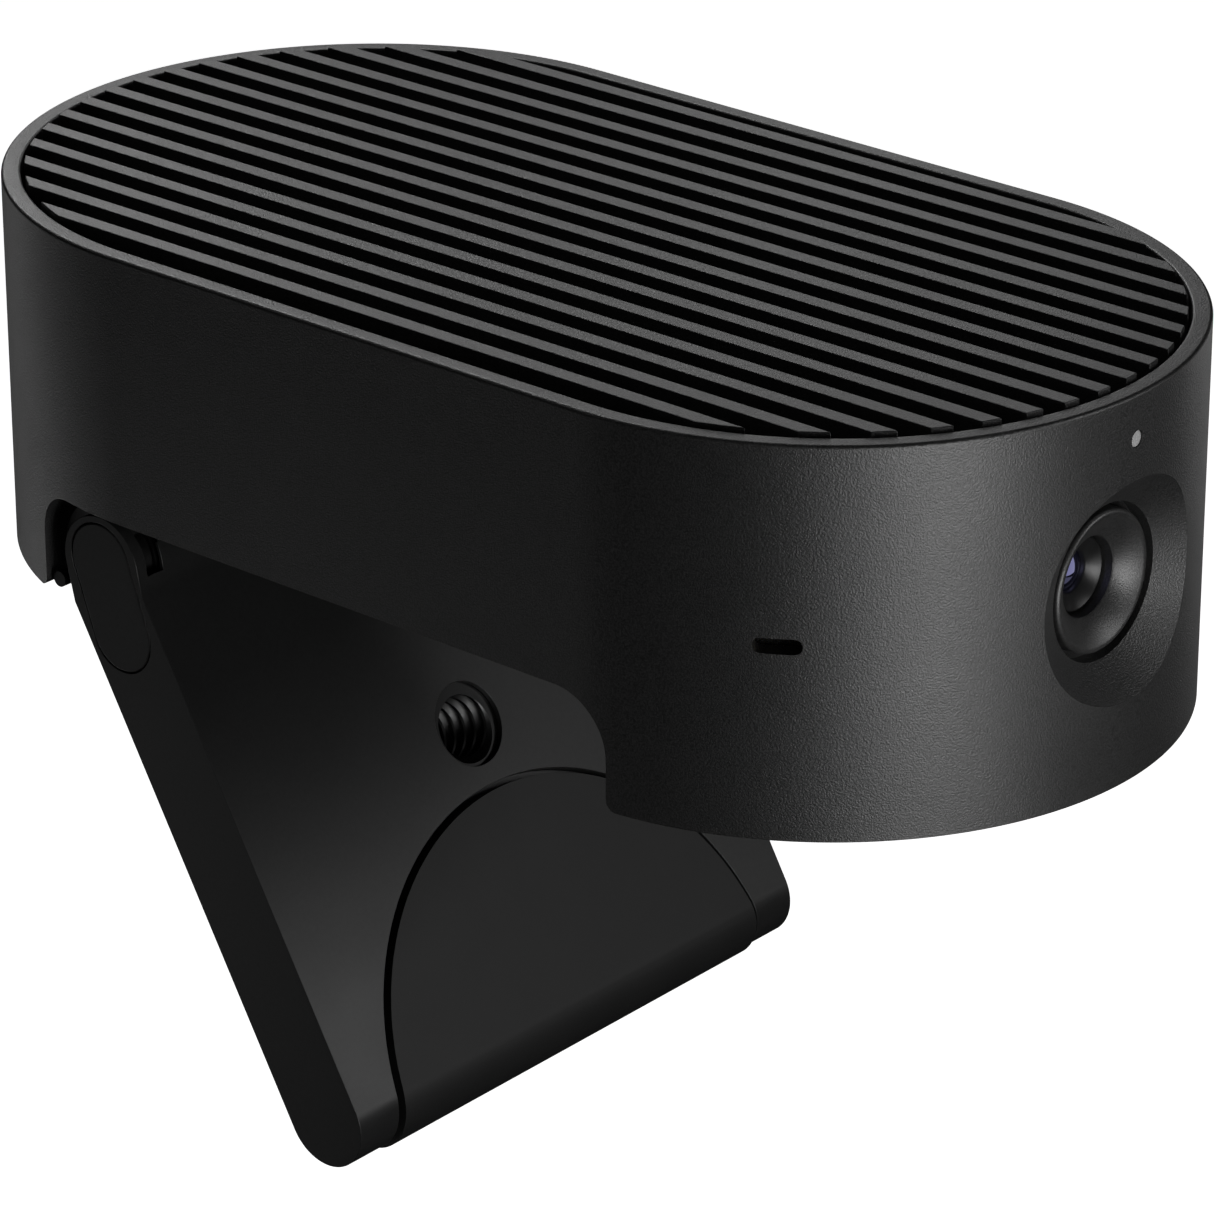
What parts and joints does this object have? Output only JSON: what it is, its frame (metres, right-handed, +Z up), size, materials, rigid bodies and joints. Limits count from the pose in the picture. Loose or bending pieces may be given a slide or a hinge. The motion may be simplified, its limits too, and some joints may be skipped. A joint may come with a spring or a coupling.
{
  "type": "conference webcam",
  "caption": "Desk conference camera with a long rounded body, finned top and a folding mount arm with a rubber grip and a tripod thread.",
  "frame": {"origin": "centre line of the body on the lower face of the rest pad, the face that stands on a monitor's top edge, midway along the body", "axes": "+Z up, lens looks along -Y, X across the body, hinge axis along X"},
  "size_m": [0.057, 0.1036, 0.0728],
  "materials": {
    "shell": "bead-blasted, black anodised",
    "fins": "bead-blasted, black anodised",
    "arm": "fine satin, black anodised",
    "caps": "smooth matt",
    "grip": "matt silicone rubber",
    "tray": "fine texture",
    "lens_trim": "fine satin, black anodised",
    "barrel": "semi-gloss black",
    "lens_glass": "coated, violet reflection",
    "filter_glass": "polished",
    "light": "milky diffuser",
    "mesh": "black woven mesh",
    "microphone": "plated can",
    "board": "solder mask",
    "chip": "moulded package",
    "thermal": "soft filled silicone",
    "hinge_steel": "black oxide",
    "thread": "black oxide, oiled",
    "port": "drawn shell",
    "screws": "black oxide"
  },
  "bodies": {
    "camera_body": {"base_screws": "screws", "base_tray": "tray", "board_screws": "screws", "data_port": "port", "front_lens": "lens_glass", "heat_sink": "fins", "hinge_leaf_left": "hinge_steel", "hinge_leaf_right": "hinge_steel", "housing": "shell", "image_sensor": "chip", "infrared_filter": "filter_glass", "leaf_screws": "screws", "lens_barrel": "barrel", "lens_holder": "barrel", "lens_ring": "lens_trim", "light_board": "board", "main_board": "board", "microphone_left": "microphone", "microphone_mesh_left": "mesh", "microphone_mesh_right": "mesh", "microphone_right": "microphone", "middle_lens": "lens_glass", "processor": "chip", "rear_lens": "lens_glass", "rest_pad": "grip", "sensor_board": "board", "sensor_screws": "screws", "status_light": "light", "thermal_pad": "thermal"},
    "arm_body": {"mount_arm": "arm", "grip_pad": "grip", "thread_insert": "thread", "hinge_pin_left": "hinge_steel", "hinge_pin_right": "hinge_steel", "friction_washer_left": "hinge_steel", "friction_washer_right": "hinge_steel", "hinge_cap_left": "caps", "hinge_cap_right": "caps"}
  },
  "joints": [
    {"name": "arm_hinge", "type": "hinge", "parent": "camera_body", "child": "arm_body", "pos_m": [0, 0.0273, -0.00475], "axis": [1, 0, 0], "range_deg": [-60, 20]}
  ]
}
